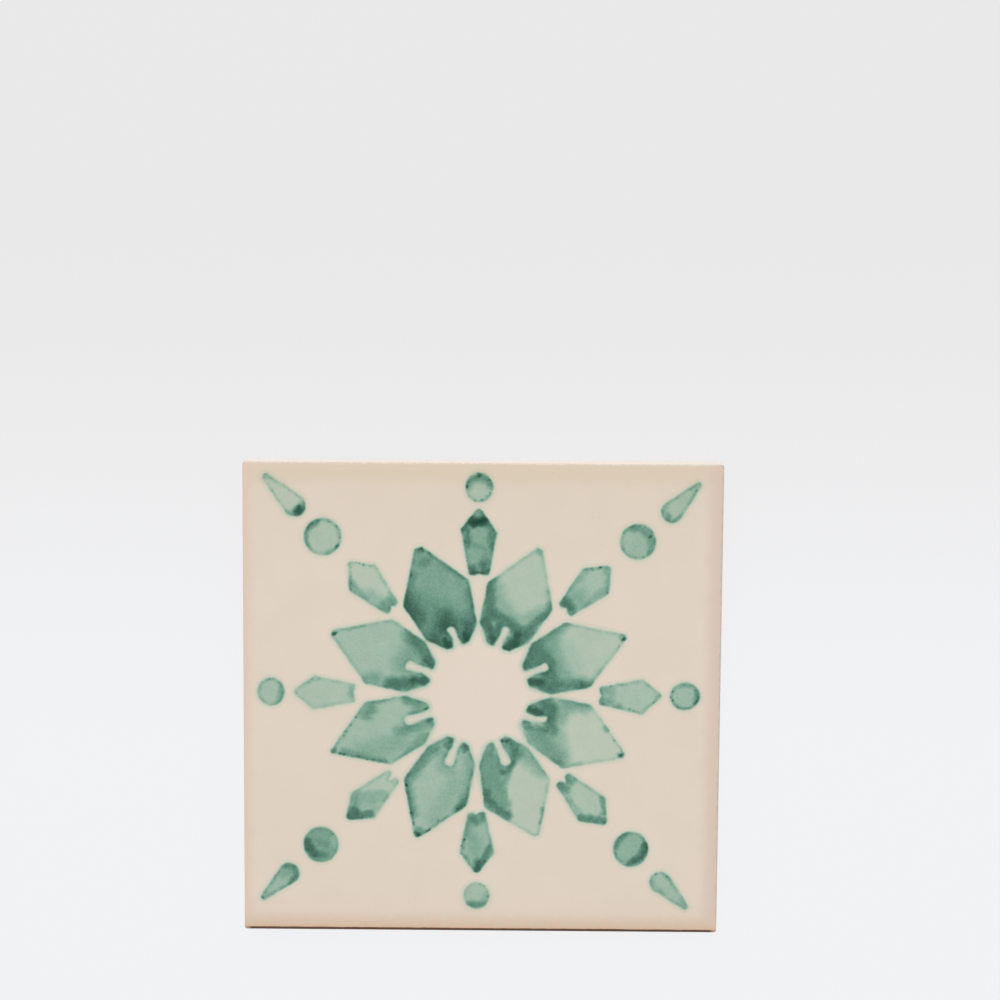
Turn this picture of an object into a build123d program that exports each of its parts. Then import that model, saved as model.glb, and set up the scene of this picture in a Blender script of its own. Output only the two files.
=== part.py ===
from build123d import *
import os

# Azulejo: a pressed earthenware wall tile, glazed on its face. It is one fired piece.
# It lies face up: its back is on Z = 0, its face looks along +Z, and the origin is in
# the middle of the back. All sizes are in millimetres.

# Outline of the body
tile_side = 140.0
tile_thickness = 8.0
corner_radius = 0.8  # upright corners, seen from above

# Glazed face: flat field, then a cushion edge that falls away to a small rounded arris
cushion_width = 5.0
cushion_drop = 0.4
arris_radius = 0.5

# Back: a bevel all round, then pressed square cells that key the tile into its mortar
back_bevel = 0.8
back_rim = 6.0
cell_mouth = 18.0  # across one cell at the back
cell_rib = 3.2  # between two cells at the back
cell_depth = 1.2
cell_draft = 25.0  # degrees that a cell's walls lean out, so that the die lets go
cell_corner_radius = 2.0

half_side = tile_side / 2
cushion_radius = (cushion_width**2 + cushion_drop**2) / (2 * cushion_drop)
cell_pitch = cell_mouth + cell_rib
cells_per_side = int((tile_side - 2 * back_rim + cell_rib) // cell_pitch)


# Section through the middle of the tile, from its left side to its right side
with BuildSketch() as section:
    with BuildLine():
        field = Line((0, tile_thickness), (half_side - cushion_width, tile_thickness))
        face_edge = (half_side, tile_thickness - cushion_drop)
        RadiusArc(field @ 1, face_edge, cushion_radius)
        side_foot = (half_side, back_bevel)
        back_edge = (half_side - back_bevel, 0)
        Polyline(face_edge, side_foot, back_edge, (0, 0), (0, tile_thickness))
    make_face()
    arris = section.vertices().group_by(Axis.X)[-1].sort_by(Axis.Y)[-1]
    fillet(arris, arris_radius)
    mirror(about=Plane.YZ)

# One upright corner: the outermost part of the section, turned a quarter of a circle
with BuildPart() as corner:
    with BuildSketch(Plane.XZ.offset(-(half_side - corner_radius))):
        add(section.sketch)
        with Locations((half_side - corner_radius / 2, tile_thickness / 2)):
            Rectangle(corner_radius, tile_thickness, mode=Mode.INTERSECT)
    upright = Axis((half_side - corner_radius, half_side - corner_radius, 0), (0, 0, 1))
    revolve(axis=upright, revolution_arc=90)

# One cell of the back, as the die's stud that presses it
with BuildPart() as stud:
    with BuildSketch():
        RectangleRounded(cell_mouth, cell_mouth, cell_corner_radius)
    extrude(amount=cell_depth, taper=cell_draft)

with BuildPart() as azulejo_tile:
    # The same section runs both ways, so its four sides meet in mitres
    with BuildSketch(Plane.XZ):
        add(section.sketch)
    extrude(amount=half_side, both=True)
    with BuildSketch(Plane.YZ):
        add(section.sketch)
    extrude(amount=half_side, both=True, mode=Mode.INTERSECT)

    # Round corners take the place of the mitres' ends
    corner_spacing = tile_side - corner_radius
    with BuildSketch():
        with GridLocations(corner_spacing, corner_spacing, 2, 2):
            Rectangle(corner_radius, corner_radius)
    extrude(amount=tile_thickness, mode=Mode.SUBTRACT)
    with PolarLocations(0, 4):
        add(corner.part)

    with GridLocations(cell_pitch, cell_pitch, cells_per_side, cells_per_side):
        add(stud.part, mode=Mode.SUBTRACT)

azulejo_tile.part.label = "azulejo_tile"

os.makedirs("parts", exist_ok=True)
export_step(azulejo_tile.part, "parts/azulejo_tile.step")

print("cells on the back:", cells_per_side, "by", cells_per_side)
print("volume in cubic centimetres:", round(azulejo_tile.part.volume / 1000, 2))
print("faces:", len(azulejo_tile.faces()), "valid:", azulejo_tile.part.is_valid)
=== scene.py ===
import math

import bmesh
import bpy
import numpy as np
from mathutils import Euler, Matrix, Vector


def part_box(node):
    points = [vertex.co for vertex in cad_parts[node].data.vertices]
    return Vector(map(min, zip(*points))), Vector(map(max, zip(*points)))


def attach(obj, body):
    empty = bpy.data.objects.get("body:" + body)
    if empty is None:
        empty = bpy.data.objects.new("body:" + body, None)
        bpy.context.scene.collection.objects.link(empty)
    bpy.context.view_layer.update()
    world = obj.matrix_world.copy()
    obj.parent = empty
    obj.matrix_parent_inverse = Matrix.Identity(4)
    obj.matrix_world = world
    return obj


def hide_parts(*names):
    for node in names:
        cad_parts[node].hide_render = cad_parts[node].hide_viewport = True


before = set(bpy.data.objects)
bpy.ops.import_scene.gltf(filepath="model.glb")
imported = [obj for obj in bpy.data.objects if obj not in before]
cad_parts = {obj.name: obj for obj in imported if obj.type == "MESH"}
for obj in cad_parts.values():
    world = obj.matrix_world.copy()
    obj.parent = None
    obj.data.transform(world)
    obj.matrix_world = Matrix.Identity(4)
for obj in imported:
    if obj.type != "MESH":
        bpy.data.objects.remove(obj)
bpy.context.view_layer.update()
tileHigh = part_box("azulejo_tile")[1]

# Shapes are drawn in millimetres, and a finished mesh is scaled to metres
metre = 1000.0
halfSide = tileHigh[0] * metre
tileTop = tileHigh[2] * metre
print("Frame loaded, tile", round(2 * halfSide, 1), "mm square and", round(tileTop, 1), "mm thick")


def newObject(name, data):
    made = bpy.data.objects.new(name, data)
    bpy.context.scene.collection.objects.link(made)
    return made


def nodeTools(tree):
    # Short ways to add a node, a sum, a product, a smooth step and a noise to one node tree
    def add(kind, inputs=(), **settings):
        node = tree.nodes.new(kind)
        for name, value in settings.items():
            setattr(node, name, value)
        for socket, value in dict(inputs).items():
            if isinstance(value, bpy.types.NodeSocket):
                tree.links.new(value, node.inputs[socket])
            else:
                node.inputs[socket].default_value = value
        return node

    def maths(operation, *values):
        return add("ShaderNodeMath", enumerate(values), operation=operation).outputs[0]

    def plus(first, second):
        return maths("ADD", first, second)

    def times(first, second):
        return maths("MULTIPLY", first, second)

    def step(value, low, high, toLow=0.0, toHigh=1.0):
        inputs = {"Value": value, "From Min": low, "From Max": high, "To Min": toLow, "To Max": toHigh}
        return add("ShaderNodeMapRange", inputs, interpolation_type="SMOOTHSTEP").outputs[0]

    def noise(place, size, detail=2.0, roughness=0.5):
        scale = maths("DIVIDE", 1.0, size) if isinstance(size, bpy.types.NodeSocket) else 1 / size
        inputs = {"Vector": place, "Scale": scale, "Detail": detail, "Roughness": roughness}
        return add("ShaderNodeTexNoise", inputs).outputs[0]

    return add, maths, plus, times, step, noise


# Stencilled rosette. Each motif is drawn in a frame of its own: along runs away from the
# rosette's middle, up a dot, or from a drop's round end to its tip, and across runs to the left
# of that. A petal's tip, notch and neck are (along, left across, right across), and its sides
# run over shoulder and hip to the lobe beside the notch and that lobe's end. Beads are (strength,
# how far along they begin). A stroke of the brush is (ink, half width, its path), with a number
# before the path if its edge is crisp: strokes that overlap run together, and a negative one
# lifts the wash.
stencil = {
    "middle": (-1.2, 2.0),
    "petals": {"tipRadius": 0.6, "sideRadii": (2.0, 1.5, 1.4, 0.8), "neckRadius": 1.2},
    "lozenges": {"tipRadius": 1.4, "shoulderRadius": 1.0, "innerRadius": 1.0, "innerOut": 0.9,
                 "pointRadius": 0.6, "pointIn": 0.5, "nickRadius": 0.3},
    "arcPoints": 7,  # in each round corner
    "dotPoints": 48,
    "dropTipPoints": 9,
    "dropEndPoints": 25,
    "reach": 2.0,  # how far round a motif its distance is worked out
    "clear": 9.0,  # the distance that stands for anything farther
    "beadFade": 3.0,  # length over which the beads set in
    # Drift of the brush, as waves of (height, radians in a millimetre along and across, start)
    "alongDrift": [(0.13, 1.7, 0.9, 1.0), (0.13, -1.1, 1.3, 2.3),
                   (0.05, 3.9, -2.6, 0.4), (0.05, 4.3, 3.1, 5.1)],
    "acrossDrift": [(0.20, 1.5, 2.1, 4.0), (0.06, -2.9, 4.4, 3.0)],
}


def roundedOutline(corners):
    # Straight runs joined by one curve at each corner, which is (along, across, radius)
    outline = []
    for index, (along, across, radius) in enumerate(corners):
        here = np.array((along, across))
        before = np.array(corners[index - 1][:2]) - here
        after = np.array(corners[(index + 1) % len(corners)][:2]) - here
        reachBefore, reachAfter = np.linalg.norm(before), np.linalg.norm(after)
        before, after = before / reachBefore, after / reachAfter
        halfAngle = math.acos(float(np.clip(before @ after, -1, 1))) / 2
        setBack = min(radius / math.tan(halfAngle), 0.5 * reachBefore, 0.5 * reachAfter)
        start, end = here + before * setBack, here + after * setBack
        for part in np.linspace(0, 1, stencil["arcPoints"]):
            outline.append((1 - part) ** 2 * start + 2 * part * (1 - part) * here + part**2 * end)
    return np.array(outline)


def petalOutline(petal):
    # From the tip down the left side, round the notch and up the right side
    sizes = stencil["petals"]
    tip, leftTip, rightTip = petal["tip"]
    neck, leftNeck, rightNeck = petal["neck"]
    notch, leftNotch, rightNotch = petal["notch"]
    notchRadius = (leftNotch - rightNotch) / 2
    left, right = [[(*corner, radius) for corner, radius in zip(petal[side], sizes["sideRadii"])]
                   for side in ("left", "right")]
    return roundedOutline([
        (tip, leftTip, sizes["tipRadius"]),
        *left,
        (neck, leftNeck, sizes["neckRadius"]),
        (notch, leftNotch, notchRadius),
        (notch, rightNotch, notchRadius),
        (neck, rightNeck, sizes["neckRadius"]),
        *reversed(right),
        (tip, rightTip, sizes["tipRadius"]),
    ])


def lozengeOutline(lozenge):
    sizes = stencil["lozenges"]
    (innerLeft, leftAcross), (innerRight, rightAcross) = lozenge["inner"]
    return roundedOutline([
        (*lozenge["tip"], sizes["tipRadius"]),
        (*lozenge["left"], sizes["shoulderRadius"]),
        (innerLeft, leftAcross + sizes["innerOut"], sizes["innerRadius"]),
        (innerLeft, leftAcross - sizes["pointIn"], sizes["pointRadius"]),
        (lozenge["nick"], (leftAcross + rightAcross) / 2, sizes["nickRadius"]),
        (innerRight, rightAcross + sizes["pointIn"], sizes["pointRadius"]),
        (innerRight, rightAcross - sizes["innerOut"], sizes["innerRadius"]),
        (*lozenge["right"], sizes["shoulderRadius"]),
    ])


def arcPoints(turns, high, wide, ahead=0.0):
    return np.stack([ahead + high * np.cos(turns), wide * np.sin(turns)], axis=1)


def dotOutline(dot):
    turns = np.linspace(0, 2 * math.pi, stencil["dotPoints"], endpoint=False)
    return arcPoints(turns, *dot["radii"])


def dropOutline(drop):
    # Round end, and a small round tip that its two straight sides run to
    length, endRadius, tipRadius = drop["length"], drop["endRadius"], drop["tipRadius"]
    lean = math.acos((endRadius - tipRadius) / length)
    tip = np.linspace(-lean, lean, stencil["dropTipPoints"])
    end = np.linspace(lean, 2 * math.pi - lean, stencil["dropEndPoints"])
    tipArc = arcPoints(tip, tipRadius, tipRadius, length)
    return np.concatenate([tipArc, arcPoints(end, endRadius, endRadius)])


def signedDistance(along, across, outline):
    # Distance to the outline, negative inside it
    start = outline
    run = np.roll(outline, -1, axis=0) - start
    toPoint = np.stack([along, across], axis=1)[:, None] - start
    part = np.clip((toPoint * run).sum(2) / np.maximum((run**2).sum(1), 1e-9), 0, 1)
    distance = np.linalg.norm(toPoint - part[..., None] * run, axis=2).min(1)
    end = start + run
    spans = (start[:, 1] > across[:, None]) != (end[:, 1] > across[:, None])
    rise = np.where(run[:, 1] == 0, 1e-9, run[:, 1])
    crossing = start[:, 0] + run[:, 0] * (across[:, None] - start[:, 1]) / rise
    inside = (spans & (along[:, None] < crossing)).sum(1) % 2 == 1
    return np.where(inside, -distance, distance)


def softStep(value):
    value = np.clip(value, 0, 1)
    return value * value * (3 - 2 * value)


def strokeInk(along, across, stroke):
    # Ink that one pass of the brush leaves: full along its path, and gone at its half width
    ink, halfWidth, *path = stroke
    crispness = path.pop(0) if np.isscalar(path[0]) else 0.0
    distance = np.full(len(along), np.inf)
    points = np.stack([along, across], axis=1)
    for start, end in zip(path, path[1:]):
        run = np.array(end) - start
        toPoint = points - start
        part = np.clip(toPoint @ run / max(run @ run, 1e-6), 0, 1)
        distance = np.minimum(distance, np.linalg.norm(toPoint - part[:, None] * run, axis=1))
    return ink * (1 - softStep((distance / halfWidth - crispness) / (1 - crispness)))


def wander(along, across):
    # Smooth drift that keeps a pool of ink from having a straight edge
    def drift(waves):
        return sum(height * np.sin(alongRate * along + acrossRate * across + start)
                   for height, alongRate, acrossRate, start in waves)

    return along + drift(stencil["alongDrift"]), across + drift(stencil["acrossDrift"])


def motifInk(along, across, motif):
    # The wash and its brush strokes, run together where they overlap
    along, across = wander(along, across)
    pooled = np.zeros(len(along))
    lifted = np.zeros(len(along))
    for stroke in motif["strokes"]:
        left = strokeInk(along, across, stroke)
        pooled += np.maximum(left, 0) ** 3
        lifted += np.minimum(left, 0)
    return motif["wash"] + np.cbrt(pooled) + lifted


# Petals, clockwise from the one to the left of the top
petals = [
    {"turn": 112.5, "tip": (46.65, 1.1, -1.1), "notch": (21.5, 1.75, -1.1), "neck": (17.8, 0.85, -0.75),
     "left": ((32.4, 10.5), (20.2, 8), (15.6, 3.5), (15.4, 1.5)),
     "right": ((32.2, -10.25), (19.4, -7.5), (15.2, -3.3), (15.2, -1.2)), "wash": 1.36, "rim": 0.3,
     "beads": (0.5, 38), "strokes": [
      (1.4, 7, (33, 9.5), (28, 9)), (1.5, 6, (24, 0.5), (22.5, 1.5)), (1.2, 3.4, (20, 6), (17, 3.6)),
      (2.7, 1.8, (18, 3), (16.4, 2.6)), (3.2, 1.6, (17.6, -3.2), (16.4, -2.9)),
      (1.5, 3.2, (20, -5), (17.2, -2.8)), (0.45, 6, (30, 4), (27, 1)), (0.5, 2.2, (42, 1.4), (42, -1.4)),
      (0.7, 3, (29, -9.5), (23, -8)), (0.75, 5.5, (21, 6), (21, -6)), (0.3, 2, (47, 0), (45, 0)),
      (0.5, 2, (40, 4.4), (36, 6.5)), (0.35, 2, (40, -5), (34, -9)), (1.6, 0.8, (46.1, -0.8), (46, -0.6)),
      (1, 0.7, (44, -2.4), (44, -2.6))]},
    {"turn": 67.5, "tip": (46.65, 0.9, -0.9), "notch": (21.6, 1, -1.4), "neck": (17.8, 0.85, -0.75),
     "left": ((31.5, 10.15), (20, 7.9), (14.9, 3.5), (14.7, 1.1)),
     "right": ((31.5, -10.5), (19.7, -7.9), (15.1, -3.5), (15, -1.1)), "wash": 0.55, "rim": 0.18,
     "beads": (0.1, 40), "strokes": [
      (1.7, 3.4, 0.1, (33, 10), (30, 9), (26, 7), (22, 6)),
      (1.7, 3.4, 0.1, (23.4, 4.5), (23.2, 1), (22.6, -1.5), (21.6, -4), (22.6, -6.4)),
      (1.6, 2.7, (32.6, -10), (29.5, -9.2), (26, -7.4), (24, -6.8)),
      (2.9, 2.5, 0.1, (20.2, -4), (17, -4), (15.6, -3)), (2.2, 1.8, (18.4, -2.6), (15.8, -2)),
      (1.9, 2.6, (19.5, 4.6), (16, 2.4)), (1.8, 2.8, 0.1, (20.5, 6.8), (19.4, 4.6)),
      (1.7, 2.3, 0.1, (21, 2), (17.5, 1.8)), (1.7, 2.4, (21.5, -6.4), (18, -5)),
      (0.6, 1.5, (47, 0), (45.6, 0)), (0.4, 1.6, (36, -7), (33, -9.5)),
      (0.5, 3.4, (31.5, 7.4), (28, 4.8), (25.4, 0.5), (25, -4), (29.5, -7.6)),
      (2.3, 1.7, (17, 2.6), (15.2, 2)), (1.3, 1.6, (20.6, 2.6), (19, 2.8)),
      (1.2, 1.8, (20.5, -7), (18, -5.4))]},
    {"turn": 22.5, "tip": (46.65, 0, -1.4), "notch": (22.2, 1.3, -1.6), "neck": (17.8, 0.7, -1),
     "left": ((31.7, 10), (20.1, 7.8), (15.2, 2.9), (15, 0.9)),
     "right": ((31.1, -10.8), (19.5, -8.3), (14.8, -3.9), (14.7, -1.5)), "wash": 0.53, "rim": 0.2,
     "beads": (0.6, 42), "strokes": [
      (1.1, 3.4, (31.5, 10), (27.5, 8.4), (23, 7)),
      (1.7, 5.8, 0.1, (20.5, 6), (21.5, 3), (21.5, -3), (20.5, -6)), (1.6, 3, (31.5, -10.4), (29.5, -9.2)),
      (1.6, 3.8, (29, -9), (23.5, -7)), (1.5, 1.2, (30.4, -9.8), (29.6, -9.3)),
      (2.8, 2.7, (18.4, -4), (15.8, -2.9)), (1.6, 1.8, (19, 2.2), (17.5, 1.8)),
      (1.3, 2, (20, -6.4), (17.5, -5.4)), (1.9, 2.6, (18.5, 4), (15.6, 2.1)),
      (1.3, 2.2, (24, 0.5), (23.2, -1.6)), (0.6, 1.6, (47, 0), (45.5, -0.6)),
      (0.3, 1.6, (36, -7), (33, -9.5)), (0.75, 4.6, (26, 5.5), (25.2, 0), (26, -5.5)),
      (0.2, 4, (30, 3), (30, -4)), (3, 0.9, (46, -0.9), (45.7, -1.2))]},
    {"turn": -22.5, "tip": (47.1, 0.3, -1.4), "notch": (21.8, 1.8, -0.35), "neck": (18.2, 0, -1.65),
     "left": ((32.1, 9.85), (20.4, 7.3), (15.2, 2.8), (15, 0.3)),
     "right": ((31.8, -11.3), (19.6, -8.3), (15.2, -4.1), (15.2, -2)), "wash": 0.42, "rim": 0.2,
     "beads": (0.3, 36), "strokes": [
      (1, 4.4, (30.5, 9.3), (25, 7.4)), (1.9, 4.2, 0.1, (19.5, 4.6), (22, 4), (22.6, 1.4)),
      (1.15, 5.4, 0.1, (29, -9.4), (24, -5.8), (21, -5)), (1.7, 3.2, (25, -2), (23.8, -0.6), (22.5, -2.6)),
      (2.9, 2.6, (19.4, 1.8), (16, 1.5)), (1.3, 2.2, (18.5, -4), (16, -2.4)),
      (0.7, 1.3, (39.6, 4.6), (38.5, 5)), (0.7, 1.2, (46.2, -0.6), (45.5, -0.8)),
      (0.4, 1.6, (36, -8), (33, -10)), (0.8, 3.4, (26, 6), (25.5, 2)), (1.2, 1.8, (31.2, -10.2), (30, -9.6)),
      (1.2, 0.9, (16.8, -4), (16.3, -3.8)), (2.6, 0.85, (46.3, -0.6), (46, -0.8)),
      (1.3, 1.9, (23, -2.4), (20.3, -3.1), (17.5, -3.6)), (0.5, 3.6, (27, -2), (31, -8))]},
    {"turn": -67.5, "tip": (46.65, 0.6, -0.9), "notch": (23.3, 1.5, -1.9), "neck": (17.8, 0.5, -1.25),
     "left": ((32.3, 10), (20.6, 7.4), (15.2, 2.7), (15.2, 0.6)),
     "right": ((32.7, -11.35), (20.1, -7.9), (15.4, -3.7), (15.3, -1.5)), "wash": 0.48, "rim": 0.2,
     "beads": (0.15, 36), "strokes": [
      (1.1, 4.8, 0.4, (36.5, -8.4), (30, -7.6), (24, -6), (20.5, -4.8)),
      (0.8, 1.4, (20.6, -7.6), (31, -10.4)),
      (1.7, 2.4, 0.1, (37.5, -5.8), (35.5, -7.2), (31, -9.4), (28.5, -8.6)),
      (1, 2.1, (34.5, -4.8), (28.5, -4), (26.4, -1.6)),
      (1.7, 2, (25, -2.4), (24.9, -0.6), (23.2, 1.8), (20.4, 3.8)), (1.3, 2, (24.6, -2.2), (22, -2.6)),
      (1.6, 4.2, (21, 4), (17, 3)), (0.7, 5, (28, 9), (23, 6.5)), (1.3, 2.5, (18.5, -3.5), (16, -2.2)),
      (0.9, 1, (43.5, 2.4), (39.5, 4.7)), (2.6, 0.9, (15.8, 1), (15.9, 1.2)),
      (2.6, 0.9, (16.3, 2.3), (16.6, 2.6))]},
    {"turn": -112.5, "tip": (47.4, 0.6, -0.6), "notch": (23.5, 1.8, -1.5), "neck": (17.6, 0.95, -0.8),
     "left": ((32.7, 10.05), (20.5, 7.6), (15.6, 3.6), (15.3, 1.3)),
     "right": ((32.4, -10.35), (20.4, -7.4), (15.6, -3.4), (15.3, -1.1)), "wash": 0.75, "rim": 0.4,
     "beads": (1.5, 31), "strokes": [
      (1.4, 3, (34.5, 8.6), (31.5, 8.8)), (0.5, 3.4, (30, 8.5), (23, 7), (19.5, 5)),
      (0.3, 5, (40, 3), (27, 5)), (1, 2.8, (41, -4), (35, -8), (31, -10)),
      (1.1, 2.8, (30.5, -8.6), (27, -7.6), (23, -6.6), (20.4, -5)),
      (0.35, 3, (25, 2), (25, -1.5), (21, -2.5)), (1.4, 1.9, (17.2, 3), (15.7, 2.7)),
      (1.3, 1.3, (15.8, -2), (18.6, -1.7)), (1.2, 2.2, (18, -2.8), (16, -2)), (1, 2, (47, 0), (45, 0)),
      (4, 1, (46.6, 0.1), (46.4, 0)), (1.2, 0.7, (44.6, 2.1), (44, 2.7)), (0.8, 0.6, (42.4, 4), (41.9, 4.2)),
      (1, 0.6, (43.9, -2.2), (43.7, -2.3)), (0.7, 0.6, (41.2, -3.8), (40.9, -3.9)),
      (0.9, 0.6, (39, -5.3), (38.8, -5.4))]},
    {"turn": 202.5, "tip": (47.1, 0.5, -0.4), "notch": (23.2, 1.4, -1.8), "neck": (17.6, 1.35, -0.75),
     "left": ((32.1, 10.2), (20.3, 8.2), (15.4, 3.7), (15.2, 1.6)),
     "right": ((32.1, -10.1), (20.4, -7.5), (15, -3), (14.7, -0.9)), "wash": 0.75, "rim": 0.3,
     "beads": (0.8, 31), "strokes": [
      (0.8, 2.8, (43.4, 1.8), (39, 5.2), (34, 8.6)), (0.4, 6, (38, 4), (27, 5)),
      (0.7, 3, (25.5, 8.8), (20, 6)), (0.8, 3.2, (26, 2), (22.5, 2.4)), (1.1, 1.5, (24.6, 1.4), (23, 2.2)),
      (0.7, 3, (21, 3), (17, 2.8)), (0.9, 3.2, (33, -6.4), (31, -7.4)), (0.5, 2, (30, -9), (27, -9)),
      (1.5, 1.1, (46.6, 0), (46, 0)), (0.9, 2.6, (20.5, -6), (17.5, -3.5)), (0.6, 2.4, (20, -2), (17, -2.2)),
      (1.4, 1.5, (16.6, 2.4), (15.8, 2.2)), (0.6, 0.6, (44.4, 1.6), (44.2, 1.7)),
      (0.6, 0.6, (42.4, 2.8), (42.2, 2.9)), (0.8, 0.7, (40.2, 4.2), (40, 4.4)),
      (2.2, 0.8, (16.4, -1.4), (16, -1.5)), (0.8, 0.5, (18.6, -4), (18.2, -3.8))]},
    {"turn": 157.5, "tip": (46.65, 0.9, -0.8), "notch": (22.9, 2, -1.25), "neck": (17.6, 0.9, -1),
     "left": ((31.9, 10.3), (20.1, 8.2), (14.9, 3.8), (14.5, 1.6)),
     "right": ((31.8, -10.6), (20.2, -8), (15.1, -3.7), (14.9, -1.4)), "wash": 0.75, "rim": 0.2,
     "beads": (0.5, 42), "strokes": [
      (0.7, 3.4, (31.5, 8.6), (29.5, 7.4)), (1.7, 3.4, 0.1, (25, 7.4), (22.5, 6.4), (20, 5)),
      (2.1, 2.3, (19, 4), (15, 2.4)), (1.2, 3.6, (19, 4), (16.5, 2.6)),
      (1.45, 4.4, (24.5, -8), (21, -6.2), (18, -3.8)), (1.9, 2.6, (18, -3), (15.8, -2.3)),
      (0.6, 5.5, (24, 1), (23, -3)), (2.6, 0.85, (46.1, 0.1), (45.8, 0)),
      (0.4, 0.7, (43, -2.4), (38, -5.8))]},
]

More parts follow.
